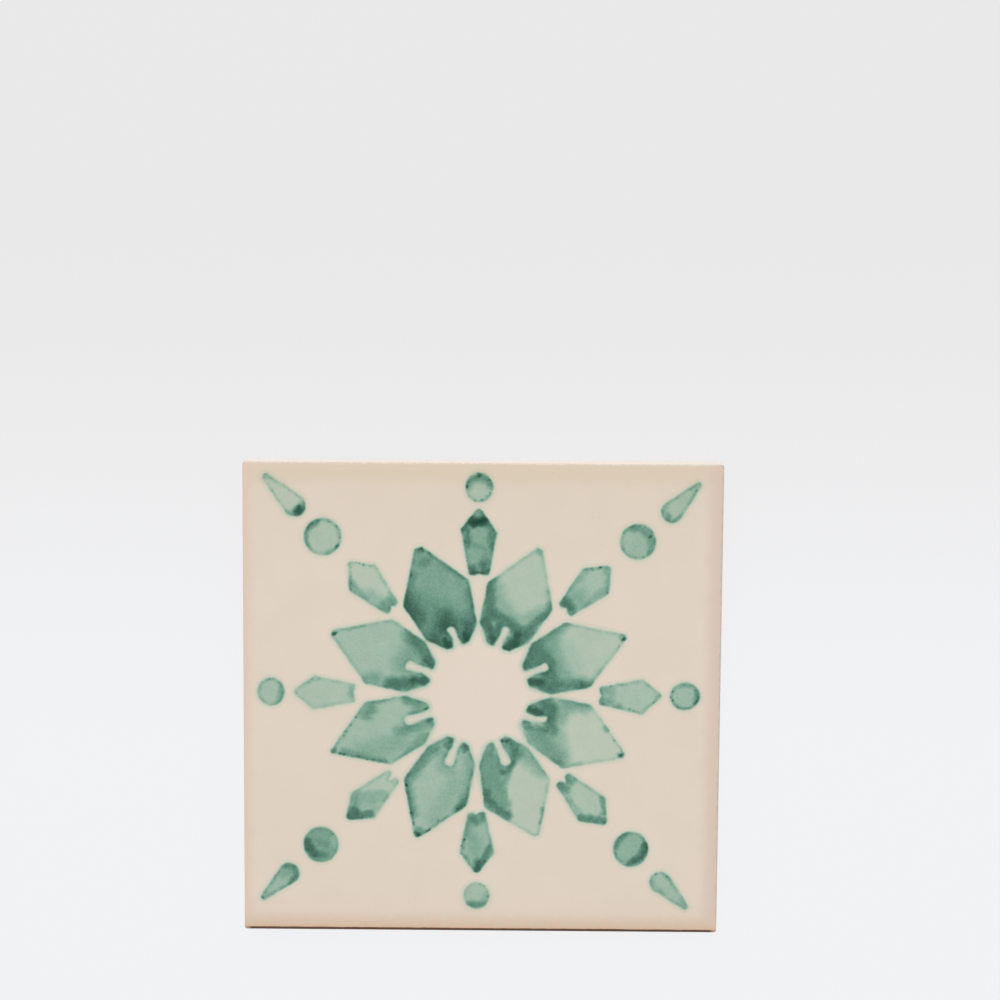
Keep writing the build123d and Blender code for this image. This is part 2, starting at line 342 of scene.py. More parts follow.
# Lozenges between the petals, clockwise from the top
lozenges = [
    {"turn": 90, "tip": (55.5, 0), "left": (48.8, 5.35), "right": (47.8, -5.3),
     "inner": ((35.2, 1.9), (35.2, -2.1)), "nick": 35.6, "wash": 1.22, "rim": 0.35, "beads": (0.4, 34),
     "strokes": [
      (1, 2.4, (53, -1.6), (51, -1.6)), (2, 2, (51.2, 2.4), (51.5, 0), (51, -2)),
      (0.8, 1.4, (50.2, -1.2), (50, -2.4)), (1, 2.2, (50.6, 3.2), (49, 4.2)),
      (1, 1.6, (48.6, 3.4), (44, 3.2)), (0.8, 1.8, (49, -3.4), (44, -3.6)),
      (0.35, 1.4, (44.2, 2), (43, -1.6)), (4.8, 2, (50.4, 1.5), (50.8, 0.2), (51.2, -0.9)),
      (1.4, 2, (37, 1.6), (35.8, 1.4)), (1.2, 2.4, (38.4, -1.4), (36, -1.6)),
      (0.3, 2.4, (41, -2), (40, -1.4))]},
    {"turn": 45, "tip": (54.6, -0.3), "left": (48, 4.9), "right": (48.1, -5.9),
     "inner": ((35.4, 1.5), (35.4, -1.8)), "nick": 36.4, "wash": 0.72, "rim": 0.25, "beads": (1, 46),
     "strokes": [
      (0.5, 1.6, (53, 0.4), (52, -0.8)), (0.9, 0.8, (48.3, 4), (48, 4.2)),
      (0.5, 1.5, (51, -2.6), (48.2, -4.8)), (0.4, 4.6, (42, 0), (40, 0)), (0.4, 1.6, (48.6, 3.6), (40, 2.8)),
      (0.8, 2.6, (38, 1.6), (37, 1.4)), (0.8, 2.6, (38, -1.4), (37, -1.6)),
      (0.45, 1.8, (48.2, -4), (40, -3)), (1.7, 3, (37.4, 1), (37.2, -1.2)), (0.45, 3, (41, 1), (40.6, -1.4)),
      (0.7, 0.6, (51.4, 1.7), (51.2, 1.8)), (0.6, 0.6, (50, 2.6), (49.7, 2.8)),
      (0.7, 0.6, (53.3, 0.2), (53, 0))]},
    {"turn": 0, "tip": (54.6, -0.4), "left": (48.5, 4.5), "right": (48.3, -6.1),
     "inner": ((35.9, 1.2), (35.7, -2.3)), "nick": 36.3, "wash": 0.67, "rim": 0.25, "beads": (0.4, 34),
     "strokes": [
      (0.5, 0.9, (53.1, -0.2), (52, -2)), (0.6, 1.4, (42, -3.6), (40, -3.4)),
      (0.85, 2.4, (38.8, -2), (36.6, -2)), (0.6, 2.6, (39.4, 0.6), (36.8, 1)),
      (0.9, 0.7, (36.4, 1.1), (36.2, 1.4)), (0.7, 0.7, (36.2, -2), (36, -2.2)),
      (0.5, 0.6, (44.8, -4.4), (44.4, -4.4))]},
    {"turn": -45, "tip": (55.3, -0.9), "left": (49, 4.8), "right": (48.5, -6.1),
     "inner": ((35.8, 1.3), (35.8, -2.2)), "nick": 37.4, "wash": 0.6, "rim": 0.28, "beads": (0.5, 47),
     "strokes": [
      (1.5, 1.9, (53.4, -0.6), (50.6, -2.8), (48.2, -4.6)), (0.7, 1.2, (53, 1.6), (51.6, 0.4)),
      (0.9, 1.2, (52.4, 1.2), (48, 3.8)), (0.5, 1.3, (48, -4), (41, -3.2)),
      (1.1, 2.6, (38, 0.8), (36.6, 0.9)), (1.35, 2.5, (38.6, -2), (36.6, -2)),
      (0.7, 0.6, (53.6, 0.2), (53.4, 0.2))]},
    {"turn": -90, "tip": (55.1, -0.3), "left": (48.4, 5.1), "right": (48.5, -5.3),
     "inner": ((35.9, 1.3), (36.2, -1.9)), "nick": 36.6, "wash": 0.9, "rim": 0.25, "beads": (0.8, 42),
     "strokes": [
      (2, 2.4, (53.3, 0), (51.4, 0.5)), (1.2, 1.6, 0.2, (50.8, 1.6), (47, 3.4)),
      (0.4, 1.2, (51.4, -2.4), (49.5, -3.4)), (0.3, 3.6, (48.4, 0), (44, -1)),
      (0.7, 1.1, (45.4, -4.2), (44.6, -4.2)), (0.5, 2.2, (43, -2.8), (40, -2.6)),
      (1.2, 2.4, (39, -0.4), (38, -1.6)), (1, 1.9, (38, 1.4), (37, 1.4)),
      (0.3, 0.8, (46, -4), (44.6, -4.2))]},
    {"turn": -135, "tip": (55.1, -0.3), "left": (48.6, 5.3), "right": (48.2, -5.1),
     "inner": ((35.2, 1.6), (35, -1.3)), "nick": 37.8, "wash": 0.55, "rim": 0.2, "beads": (0.1, 46),
     "strokes": [
      (1.9, 2.8, 0.3, (52.6, 0), (51.4, 0)), (1.5, 1.8, 0.3, (50.8, 1.6), (48.2, 3.4)),
      (0.9, 1.9, (50.4, -1.6), (47.6, -3.4)), (0.4, 3.6, 0.3, (49.4, 1.8), (45.6, 1.2)),
      (0.6, 2.4, 0.5, (48.4, -2), (47, -2.4)), (0.5, 2.4, 0.6, (45, -0.6), (42, 2.4))]},
    {"turn": 180, "tip": (55, 0), "left": (48.6, 5.3), "right": (48.4, -4.9),
     "inner": ((36.4, 2), (36.3, -1.6)), "nick": 36.6, "wash": 0.62, "rim": 0.14, "beads": (0.25, 44),
     "strokes": [
      (0.3, 1, (51, -2.6), (47.4, -3.8)), (0.5, 1.3, (37.6, 1.4), (37.6, -1.4))]},
    {"turn": 135, "tip": (54.8, -0.5), "left": (48.2, 5.6), "right": (48.3, -5.5),
     "inner": ((35.4, 1.5), (35.6, -1.5)), "nick": 36.5, "wash": 0.48, "rim": 0.28, "beads": (0.7, 45),
     "strokes": [
      (0.8, 1.9, (50.6, 3.4), (43, 3.6)), (0.6, 1.1, (50, 4.2), (48.6, 4.6)),
      (0.4, 0.7, (52, 2.2), (50.6, 3.4)), (0.5, 3.6, (43, 2.2), (40, 1.4)), (1.25, 3, (38, 1.2), (37, 1.2)),
      (1.1, 2.6, (38, -1), (36.8, -1.2))]},
]

# Dots: one near the middle of each side, and one towards each corner
dots = [
    {"at": (-1.2, 63), "radii": (4.4, 4.05), "wash": 0.63, "rim": 0.25, "beads": (1, -9), "strokes": [
      (1.15, 2, (0.6, 3.3), (2.2, 2.4), (2.9, 0), (2.2, -2.4), (0.8, -3.1)),
      (2.5, 1, (3.6, 0), (3.1, 0.1))]},
    {"at": (-62.3, 2), "radii": (4.2, 4), "wash": 0.7, "rim": 0.3, "beads": (0.3, -9), "strokes": [
      (0.75, 1.7, (2, -3), (0, -3.3), (-2.6, -2.7)), (0.6, 0.9, (-2.7, -2.7), (-3, -2.3))]},
    {"at": (59.8, 1.5), "radii": (4.15, 4.35), "wash": 0.82, "rim": 0.45, "beads": (0.9, -9), "strokes": [
      (0.9, 1.5, (2, -3.3), (0, -3.8), (-1.2, -3.4)), (1.6, 0.9, (-1.8, -2.9), (-2, -2.7)),
      (0.4, 1.2, (2.9, 1.4), (2.9, -2))]},
    {"at": (-1.4, -59.5), "radii": (4, 3.9), "wash": 0.7, "rim": 0.12, "beads": (0.3, -9), "strokes": [
      (1.15, 1.8, (-2.4, 2.2), (-3, 0), (-2.4, -2.3)), (0.35, 2, (0, -3), (-1.5, -2.6))]},
    {"at": (-46.9, 48.2), "radii": (5.55, 5.5), "wash": 0.63, "rim": 0.35, "beads": (0.35, -9),
     "strokes": [
      (1.2, 1.7, (4.4, 1.8), (3.6, 3.3), (2.6, 4.3)), (0.6, 1.2, (2, 4.7), (-2.8, 4.5)),
      (1.5, 0.8, (-2.7, -4.5), (-3.2, -4.1)), (0.4, 1.2, (-3.6, -3.4), (-4.8, -1))]},
    {"at": (45.3, 47.4), "radii": (5.3, 5.25), "wash": 0.84, "rim": 0.35, "beads": (0.3, -9), "strokes": [
      (0.8, 1.8, (4, 1.6), (3.6, -0.8), (2, -2.9), (0, -3.9), (-2.8, -3.5)),
      (2.4, 0.9, (1.9, -3.8), (1.5, -3.6))]},
    {"at": (-47.7, -44.2), "radii": (5.35, 5.15), "wash": 1.38, "rim": 0.1, "beads": (0.2, -9),
     "strokes": [
      (1.3, 2.2, 0.2, (0.6, 4.1), (-1.2, 3.3), (-2.6, 2.1)), (0.8, 2, (-3.2, 0.6), (-3.2, -1.2)),
      (0.3, 2, (1, 0.6), (0, -1.6)), (-0.35, 1.8, (2, -3.8), (0, -4))]},
    {"at": (44.45, -44.9), "radii": (5.35, 5.2), "wash": 1.05, "rim": 0.3, "beads": (0.25, -9),
     "strokes": [
      (1.5, 1.8, 0.2, (1.4, -4.3), (-0.6, -4.1), (-2.4, -2.9), (-3.6, -1)),
      (0.9, 1.6, (-4, -0.8), (-4, 0.4)), (0.75, 1.5, (4.2, 1.6), (2.9, 3.5), (0.6, 4.2))]},
]

# Drops, one in each corner with its tip outwards
drops = [
    {"at": (-55.2, 57.4), "turn": 135, "length": 11.6, "endRadius": 3.4, "tipRadius": 1.15, "wash": 0.46,
     "rim": 0.2, "beads": (0.25, -9), "strokes": [
      (3.3, 2.3, (-2.2, 0.4), (-1.9, -0.4)), (1.1, 1.6, (-1.2, 1.6), (-1.6, -2)),
      (0.5, 1.2, (12.3, 0), (10.8, -0.5)), (0.6, 0.9, (0.2, 2.8), (-0.9, 2.7))]},
    {"at": (55.1, 56.2), "turn": 46.4, "length": 10.9, "endRadius": 3.25, "tipRadius": 0.95, "wash": 0.68,
     "rim": 0.35, "beads": (0.35, -9), "strokes": [
      (1.1, 1.8, (-2.3, -0.6), (-1.8, 0)), (0.6, 1.3, (0.4, -2.6), (-1.2, -2.2)),
      (0.35, 1.5, (-0.4, 2.4), (-1.6, 1.6)), (0.2, 1.4, (11.4, 0), (9, 0.2))]},
    {"at": (-57.3, -53.1), "turn": 223.9, "length": 10.4, "endRadius": 3.15, "tipRadius": 0.95, "wash": 0.85,
     "rim": 0.35, "beads": (0.45, -9), "strokes": [
      (1, 1.8, (-0.8, -2.2), (-2.2, -0.4), (-1.8, 1.6), (1.6, 2.5)), (0.45, 2.6, (1, -0.8), (-1, 0)),
      (0.2, 1.2, (11, 0.4), (9.4, 0.2)), (0.5, 0.8, (9, -0.9), (8.6, -1))]},
    {"at": (53.4, -55), "turn": -44.6, "length": 10.5, "endRadius": 3.25, "tipRadius": 0.95, "wash": 0.74,
     "rim": 0.22, "beads": (0.35, -9), "strokes": [
      (0.3, 1.5, (10.6, 0.2), (8.6, 0.5)), (0.4, 0.9, (1.6, 2.4), (-1.4, 2.5)),
      (0.3, 1.2, (3.4, -1.8), (-2, -1.8))]},
]


def motifList():
    # Every motif as (its place, its turn, its outline, the motif)
    middle = np.array(stencil["middle"])
    found = [(middle, petal["turn"], petalOutline(petal), petal) for petal in petals]
    found += [(middle, lozenge["turn"], lozengeOutline(lozenge), lozenge) for lozenge in lozenges]
    found += [(np.array(dot["at"]), 90.0, dotOutline(dot), dot) for dot in dots]
    found += [(np.array(drop["at"]), drop["turn"], dropOutline(drop), drop) for drop in drops]
    return found


def paintStencil(x, y):
    # For each point of the face: distance to the nearest outline, negative inside it, and the
    # wash, the dark rim and the beads of that motif
    distance = np.full(len(x), stencil["clear"])
    wash = np.zeros(len(x))
    rim = np.zeros(len(x))
    beads = np.zeros(len(x))
    reach = stencil["reach"]
    for place, turn, outline, motif in motifList():
        cosine, sine = math.cos(math.radians(turn)), math.sin(math.radians(turn))
        along = (x - place[0]) * cosine + (y - place[1]) * sine
        across = (y - place[1]) * cosine - (x - place[0]) * sine
        low, high = outline.min(0) - reach, outline.max(0) + reach
        within = (along > low[0]) & (along < high[0]) & (across > low[1]) & (across < high[1])
        near = np.flatnonzero(within)
        along, across = along[near], across[near]
        here = signedDistance(along, across, outline)
        ink = motifInk(along, across, motif)
        strength, begin = motif["beads"]
        beading = strength * softStep((along - begin) / stencil["beadFade"])
        closer = here < distance[near]
        mine = near[closer]
        distance[mine], wash[mine] = here[closer], ink[closer]
        rim[mine], beads[mine] = motif["rim"], beading[closer]
    return distance, wash, rim, beads


# The motifs were drawn under a less exact camera than the one placed here. This turns a place on the tile
# into the one it had there, so that the pattern stands where the photograph has it.
stencilLay = {"scale": (1.0053, 1.0036), "turn": 0.00024, "shift": (-0.119, -0.032), "spread": 0.000033}


def stencilPlace(x, y):
    # Where a point of the face lies on the stencil
    spread = 1 + stencilLay["spread"] * y
    (wide, high), turn, (shiftX, shiftY) = stencilLay["scale"], stencilLay["turn"], stencilLay["shift"]
    return (wide * x + turn * y + shiftX) / spread, (high * y - turn * x + shiftY) / spread


# Tile body: a pressed biscuit with a cushion edge, a rounded arris and a keyed back
body = {
    "cornerRadius": 0.8,
    "cushionWidth": 5.0,
    "cushionDrop": 0.4,
    "arrisRadius": 0.5,
    "backBevel": 0.8,
    "backRim": 6.0,
    "cellMouth": 18.0,
    "cellRib": 3.2,
    "cellDepth": 1.2,
    "cellDraft": 25.0,
    "cellCorner": 2.0,
    "cellSoftness": 0.25,  # round at the rib's edge and at the cell's floor
    "faceStep": 0.76,  # face mesh, halved again under the pattern
    "patternMargin": 0.9,  # how far round the pattern the mesh is halved
    "patternDrop": 0.7,  # depth below the face that no ink goes past
    "cornerSteps": 6,
    "cushionSteps": 3,  # from the face's square corners out to the arris
    "arrisSteps": 6,
    "sideSteps": 5,
    "cellSteps": 4,
    "weldDistance": 0.001,  # between the shell and the cells
    "flatBelow": 0.01,  # what lies lower is the back's plane, and stays flat
    "glazeRelief": 0.035,  # waves in the glaze
    "glazeWave": 9.0,
    "glazeLevel": 0.6,  # noise that leaves the surface where it is
    "biscuitRelief": 0.05,  # pressed grain on the sides and the back
    "biscuitGrain": 1.6,
    "biscuitLevel": 0.8,
    "sharpAngle": 38.0,
    "seed": 7,
}
cushionRadius = (body["cushionWidth"] ** 2 + body["cushionDrop"] ** 2) / (2 * body["cushionDrop"])


def faceHeight(inset):
    # Height of the flat field and the cushion, at a distance in from the tile's side
    offset = np.clip(body["cushionWidth"] - inset, 0, None)
    return tileTop - cushionRadius + np.sqrt(cushionRadius**2 - offset**2)


def sideProfile():
    # (inset, height) from the cushion's foot over the arris, down the side and round the bevel
    corner, arris = body["cornerRadius"], body["arrisRadius"]
    arrisOffset = body["cushionWidth"] - arris
    lean = math.asin(arrisOffset / (cushionRadius - arris))
    arrisHeight = tileTop - cushionRadius + (cushionRadius - arris) * math.cos(lean)
    arrisInset = arris * (1 - math.sin(lean))
    cushionEnd = np.linspace(corner, arrisInset, body["cushionSteps"] + 1)[1:-1]
    profile = [(inset, float(faceHeight(inset))) for inset in cushionEnd]
    for turn in np.linspace(lean, math.pi / 2, body["arrisSteps"] + 1):
        profile.append((arris * (1 - math.sin(turn)), arrisHeight + arris * math.cos(turn)))
    for height in np.linspace(arrisHeight, body["backBevel"], body["sideSteps"] + 1)[1:]:
        profile.append((0.0, float(height)))
    profile.append((body["backBevel"], 0.0))
    return profile


def ringPoints(straight, radius, height):
    # A rounded square with its corner centres at the ends of the straight runs
    steps = body["cornerSteps"]
    centre = straight[-1]
    points = []
    for side in range(4):
        turn = Matrix.Rotation(side * math.pi / 2, 2)
        points += [turn @ Vector((x, -centre - radius)) for x in straight]
        for step in range(1, steps):
            angle = -math.pi / 2 + step / steps * math.pi / 2
            along, up = centre + radius * math.cos(angle), -centre + radius * math.sin(angle)
            points.append(turn @ Vector((along, up)))
    return [(point.x, point.y, height) for point in points]


def cellRow():
    # Pitch of the back's cells, and how many fit across
    pitch = body["cellMouth"] + body["cellRib"]
    count = int((2 * halfSide - 2 * body["backRim"] + body["cellRib"]) // pitch)
    return pitch, count


def buildShell():
    # Face, cushion, arris, sides, bevel and the rim of the back, open where the cells go
    corner = body["cornerRadius"]
    reach = halfSide - corner
    count = round(2 * reach / body["faceStep"])
    line = [float(x) for x in np.linspace(-reach, reach, count + 1)]
    across, up = np.meshgrid(line, line)
    inset = halfSide - np.maximum(abs(across), abs(up))
    points = np.stack([across.ravel(), up.ravel(), faceHeight(inset).ravel()], axis=1).tolist()
    row = count + 1
    faces = [(j * row + i, j * row + i + 1, (j + 1) * row + i + 1, (j + 1) * row + i)
             for j in range(count) for i in range(count)]

    # The face's border, with each corner point repeated for the rounds that fan out from it
    fan = body["cornerSteps"] - 1
    bottom = list(range(row)) + [count] * fan
    right = [j * row + count for j in range(row)] + [row * row - 1] * fan
    top = [row * row - 1 - i for i in range(row)] + [count * row] * fan
    left = [(count - j) * row for j in range(row)] + [0] * fan
    loop = bottom + right + top + left
    for ringInset, height in sideProfile():
        ring = [len(points) + i for i in range(len(loop))]
        points += ringPoints(line, corner - ringInset, height)
        for i in range(len(loop)):
            j = (i + 1) % len(loop)
            faces.append(tuple(dict.fromkeys((loop[i], ring[i], ring[j], loop[j]))))
        loop = ring

    # Four flat stretches of rim, each from one corner's middle to the next
    pitch, cells = cellRow()
    half = pitch * cells / 2
    posts = [-half + pitch * i for i in range(cells + 1)]
    perSide = len(loop) // 4
    for side in range(4):
        turn = Matrix.Rotation(side * math.pi / 2, 2)
        first = len(points)
        points += [(*(turn @ Vector((x, -half))), 0.0) for x in posts]
        start = side * perSide - body["cornerSteps"] // 2
        outer = [loop[(start + i) % len(loop)] for i in range(perSide + 1)]
        faces.append(tuple(outer[::-1]) + tuple(range(first, len(points))))
    mesh = bpy.data.meshes.new("shell")
    mesh.from_pydata(points, [], faces)
    return mesh


def buildCell():
    # One pitch of the back: a square of rib round a drafted cell with soft edges
    half = cellRow()[0] / 2
    mouth, depth, radius = body["cellMouth"] / 2, body["cellDepth"], body["cellCorner"]
    soft, steps = body["cellSoftness"], body["cellSteps"]
    draft = math.tan(math.radians(body["cellDraft"]))

    # (inset, height) over the rib's edge, down the wall and round on to the cell's floor
    levels = [(-soft, 0.0), (0.3 * soft, 0.3 * soft), ((depth - soft) * draft, depth - soft),
              (depth * draft + 0.3 * soft, depth - 0.2 * soft), (depth * draft + 1.5 * soft, depth)]
    points = [(-half, -half, 0.0), (half, -half, 0.0), (half, half, 0.0), (-half, half, 0.0)]
    loops = []
    for inset, height in levels:
        first = len(points)
        centre, turnRadius = mouth - radius, radius - inset
        for side in range(4):
            turn = Matrix.Rotation(side * math.pi / 2, 2)
            for step in range(steps + 1):
                angle = -math.pi + step / steps * math.pi / 2
                along, up = turnRadius * math.cos(angle) - centre, turnRadius * math.sin(angle) - centre
                points.append((*(turn @ Vector((along, up))), height))
        loops.append(list(range(first, len(points))))
    faces = []
    around = len(loops[0])
    for i in range(around):
        j = (i + 1) % around
        side, after = i // (steps + 1), j // (steps + 1)
        faces.append(tuple(dict.fromkeys((side, loops[0][i], loops[0][j], after))))
        for upper, lower in zip(loops, loops[1:]):
            faces.append((upper[i], lower[i], lower[j], upper[j]))
    faces.append(tuple(loops[-1]))
    mesh = bpy.data.meshes.new("cell")
    mesh.from_pydata(points, [], faces)
    return newObject("cell", mesh)


def refineUnderPattern(mesh):
    # Halves the face's mesh where the pattern lies
    bm = bmesh.new()
    bm.from_mesh(mesh)
    bm.verts.ensure_lookup_table()
    places = np.array([vertex.co[:] for vertex in bm.verts])
    distance = paintStencil(*stencilPlace(places[:, 0], places[:, 1]))[0]
    near = (distance < body["patternMargin"]) & (places[:, 2] > tileTop - body["cushionDrop"])
    edges = {edge for face in bm.faces if len(face.verts) == 4 and all(near[v.index] for v in face.verts)
             for edge in face.edges}
    bmesh.ops.subdivide_edges(bm, edges=list(edges), cuts=1, use_grid_fill=True)
    bm.to_mesh(mesh)
    bm.free()


def pressTree(cell, material):
    # Sets the cells into the back, then gives the glaze its waves and the biscuit its grain
    tree = bpy.data.node_groups.new("pressedTile", "GeometryNodeTree")
    tree.interface.new_socket("Geometry", in_out="INPUT", socket_type="NodeSocketGeometry")
    tree.interface.new_socket("Geometry", in_out="OUTPUT", socket_type="NodeSocketGeometry")
    pitch, cells = cellRow()
    sizes = {"Cell Pitch": pitch,
             "Glaze Relief": body["glazeRelief"], "Glaze Wave": body["glazeWave"],
             "Biscuit Relief": body["biscuitRelief"], "Biscuit Grain": body["biscuitGrain"],
             "Arris Height": tileTop - body["cushionDrop"] - body["arrisRadius"]}
    counts = {"Cells": cells, "Seed": body["seed"]}
    for names, kind in ((sizes, "NodeSocketFloat"), (counts, "NodeSocketInt")):
        for name in names:
            tree.interface.new_socket(name, in_out="INPUT", socket_type=kind)
    add, maths, plus, times, step, noise = nodeTools(tree)
    given = add("NodeGroupInput").outputs
    span = times(given["Cell Pitch"], maths("SUBTRACT", given["Cells"], 1.0))
    grid = add("GeometryNodeMeshGrid", {"Size X": span, "Size Y": span, "Vertices X": given["Cells"],
                                        "Vertices Y": given["Cells"]})
    pressed = add("GeometryNodeObjectInfo", {"Object": cell})
    spread = add("GeometryNodeInstanceOnPoints", {"Points": grid.outputs["Mesh"],
                                                  "Instance": pressed.outputs["Geometry"]})
    cellsMade = add("GeometryNodeRealizeInstances", {"Geometry": spread.outputs[0]})
    joined = add("GeometryNodeJoinGeometry")
    tree.links.new(given["Geometry"], joined.inputs[0])
    tree.links.new(cellsMade.outputs[0], joined.inputs[0])
    welded = add("GeometryNodeMergeByDistance", {"Geometry": joined.outputs[0],
                                                 "Distance": body["weldDistance"]})

    position = add("GeometryNodeInputPosition").outputs[0]
    normal = add("GeometryNodeInputNormal").outputs[0]
    height = add("ShaderNodeSeparateXYZ", {0: position}).outputs["Z"]
    glazed = step(height, given["Arris Height"], tileTop - body["cushionDrop"])
    bare = maths("SUBTRACT", 1.0, glazed)
    offPlane = maths("GREATER_THAN", height, body["flatBelow"])
    shifted = add("ShaderNodeVectorMath", {0: position, 1: given["Seed"]}, operation="ADD").outputs[0]
    wave = maths("SUBTRACT", noise(shifted, given["Glaze Wave"]), body["glazeLevel"])
    grain = maths("SUBTRACT", noise(shifted, given["Biscuit Grain"], 3.0), body["biscuitLevel"])
    glazeLift = times(wave, times(glazed, given["Glaze Relief"]))
    biscuitLift = times(grain, times(bare, given["Biscuit Relief"]))
    lift = plus(glazeLift, times(biscuitLift, offPlane))
    offset = add("ShaderNodeVectorMath", {0: normal, "Scale": lift}, operation="SCALE").outputs[0]
    moved = add("GeometryNodeSetPosition", {"Geometry": welded.outputs[0], "Offset": offset})
    realised = add("GeometryNodeRealizeInstances", {"Geometry": moved.outputs[0]})
    coated = add("GeometryNodeSetMaterial", {"Geometry": realised.outputs[0], "Material": material})
    tree.links.new(coated.outputs[0], add("NodeGroupOutput").inputs[0])
    return tree, {**sizes, **counts}


def buildTile(material):
    shell = buildShell()
    refineUnderPattern(shell)
    raw = newObject("raw_tile", shell)
    cell = buildCell()
    tree, sizes = pressTree(cell, material)
    press = raw.modifiers.new("press", "NODES")
    press.node_group = tree
    for item in tree.interface.items_tree:
        if item.name in sizes:
            press[item.identifier] = sizes[item.name]
    bpy.context.view_layer.update()
    graph = bpy.context.evaluated_depsgraph_get()
    mesh = bpy.data.meshes.new_from_object(raw.evaluated_get(graph), depsgraph=graph)
    mesh.name = "glazed_tile"
    bpy.data.objects.remove(raw)
    bpy.data.objects.remove(cell)

    bm = bmesh.new()
    bm.from_mesh(mesh)
    bmesh.ops.recalc_face_normals(bm, faces=bm.faces)
    bm.to_mesh(mesh)
    bm.free()
    paintFace(mesh)
    mesh.transform(Matrix.Scale(1 / metre, 4))
    for polygon in mesh.polygons:
        polygon.use_smooth = True
    mesh.set_sharp_from_angle(angle=math.radians(body["sharpAngle"]))
    return newObject("glazed_tile", mesh)


def paintFace(mesh):
    # Stores the stencil's distance, wash, rim and beads on every point, for the glaze to read
    places = np.empty(len(mesh.vertices) * 3)
    mesh.vertices.foreach_get("co", places)
    places = places.reshape(-1, 3)
    distance, wash, rim, beads = paintStencil(*stencilPlace(places[:, 0], places[:, 1]))
    under = places[:, 2] < tileTop - body["patternDrop"]
    distance[under], wash[under] = stencil["clear"], 0.0
    for name, values in (("stencilDistance", distance), ("wash", wash), ("rim", rim), ("beads", beads)):
        layer = mesh.attributes.new(name, "FLOAT", "POINT")
        layer.data.foreach_set("value", values.astype(np.float32))


# Glaze and stain: a cream glaze over a pink biscuit, with a green wash that thins to a pale veil.
# An edge or a span is (where a fade begins, where it is full), then its strength at either end
# where that isn't nought and one. A drift is noise of (size, amount, detail).
finish = {
    "cream": (0.757, 0.650, 0.550),
    "creamMottle": 0.012,
    "mottleSize": 11.0,
    "mottleSpan": (0.3, 0.7),
    "creamMiddle": (0.775, 0.672, 0.574),  # paler in the middle of the rosette
    "middleSpan": (24.0, 8.0),
    "topBand": (0.698, 0.588, 0.462),  # darker, yellower band along the upper side: painted shade where the cushion curves away from the light
    "topArris": (0.830, 0.755, 0.685),  # painted highlight on the upper arris, over white, broken glaze
    "footBand": (0.690, 0.535, 0.405),  # peach along the lower side: painted shade where the cushion curves away from the light, over thinner glaze
    # Painted shade on the lower arris, over thin glaze
    "footArris": (0.715, 0.480, 0.328),
    # Pink of the thin glaze at the left and right, with painted shade where the cushion curves away from the
    # light, more on the right
    "leftBlush": (0.730, 0.575, 0.465),
    "rightBlush": (0.672, 0.540, 0.450),
    "rightDusk": (0.560, 0.455, 0.380),  # the arris that turns away from the light
    # The side that each tint runs along, how far in it begins and is full, its strength and colour. Most are
    # painted shade along the cushion and arris, and the upper arris gets a painted highlight
    "sideTintsAndShade": [("top", 40.0, 8.0, 0.30, "topBand"), ("top", 8.5, 2.5, 1.0, "topBand"),
                  ("frayedTop", 0.35, -0.20, 1.0, "topArris"), ("right", 6.5, 0.8, 0.9, "rightBlush"),
                  ("right", 0.7, 0.1, 0.8, "rightDusk"), ("left", 4.2, 0.4, 0.8, "leftBlush"),
                  ("foot", 14.0, 4.0, 0.18, "footBand"), ("foot", 6.2, 1.4, 1.0, "footBand"),
                  ("foot", 2.2, 0.5, 1.0, "footArris")],
    "tintDrift": (2.4, 1.6, 3.0),
    "topDrift": (0.8, 0.9),
    "footShadowLine": (0.105, 0.056, 0.034),  # painted shadow: a dark hairline on the lower arris
    "lineInset": (1.0, 0.77),
    "lineInsetDrift": (3.0, 0.3, 3.0),
    "lineHeight": (6.9, 7.1),  # how low the hairline goes
    "lineHeightDrift": (0.9, 0.3),
    "lineEnds": (2.4, 0.5, 1.0, 0.35),  # it fades near the corners
    "speck": (0.42, 0.30, 0.21),  # iron specks in the glaze
    "specks": {"spacing": 2.6, "edge": (0.10, 0.03), "share": (0.86, 0.9, 0.0, 0.30)},
    "washDepth": (1.0, 0.31, 0.41),  # how strongly the wash takes red, green and blue
    "washDeepening": (0.0, 0.095, 0.085),
    "deepest": 3.0,  # ink past which the colour deepens no more
    "streaks": [(3.2, 0.36, 3.0), (0.9, 0.38), (0.36, 0.44, 1.0)],
    "wobble": [(2.4, 0.54), (0.7, 0.27)],  # unevenness of the stencilled outlines
    "inkEdge": (0.47, -0.38),
    "rimRidge": (-0.45, 0.55),  # dark rim: its distance from the outline, and its width
    "rimPatch": 2.6,
    "rimSpan": (0.36, 0.64, 0.6, 1.9),  # patches where the rim is weaker or stronger
    "bead": {"spacing": 1.15, "edge": (0.60, 0.12), "share": (0.40, 0.90)},
    "beadRidge": (-0.40, 0.55),  # dark beads of stain that dried along the outlines
    "beadStrength": 2.3,
    "haloEdge": (1.7, 0.0),  # pale bleed round each motif
    "haloSpan": (30.0, 22.0, 0.17, 0.36),  # stronger in the middle, where the petals crowd together
    "refraction": 1.5,
    "sheen": 0.25,  # half of a new glaze's, because the photograph shows no mirror image in it
    "glazeRoughness": 0.34,
    "roughnessDrift": (1.8, 0.10),
    "peelSize": 1.5,  # orange peel in the glaze
    "peelHeight": 0.012,
    "biscuit": (0.800, 0.680, 0.585),
    "biscuitDust": (0.87, 0.79, 0.71),
    # Painted light: paler biscuit on the upper side, which faces the light
    "litTopSide": (0.91, 0.84, 0.765),
    "litTopSideSpan": (0.9, 0.3),
    "grain": (0.9, 4.0, 0.65),  # its size, detail and roughness
    "grainSpan": (0.30, 0.75),
    "grainHeight": 0.16,
    "biscuitRoughness": 0.9,
    "glazeFoot": (6.9, 6.6),  # height that the glaze runs down to
    "glazeFootDrift": (2.0, 1.0, 3.0),
}


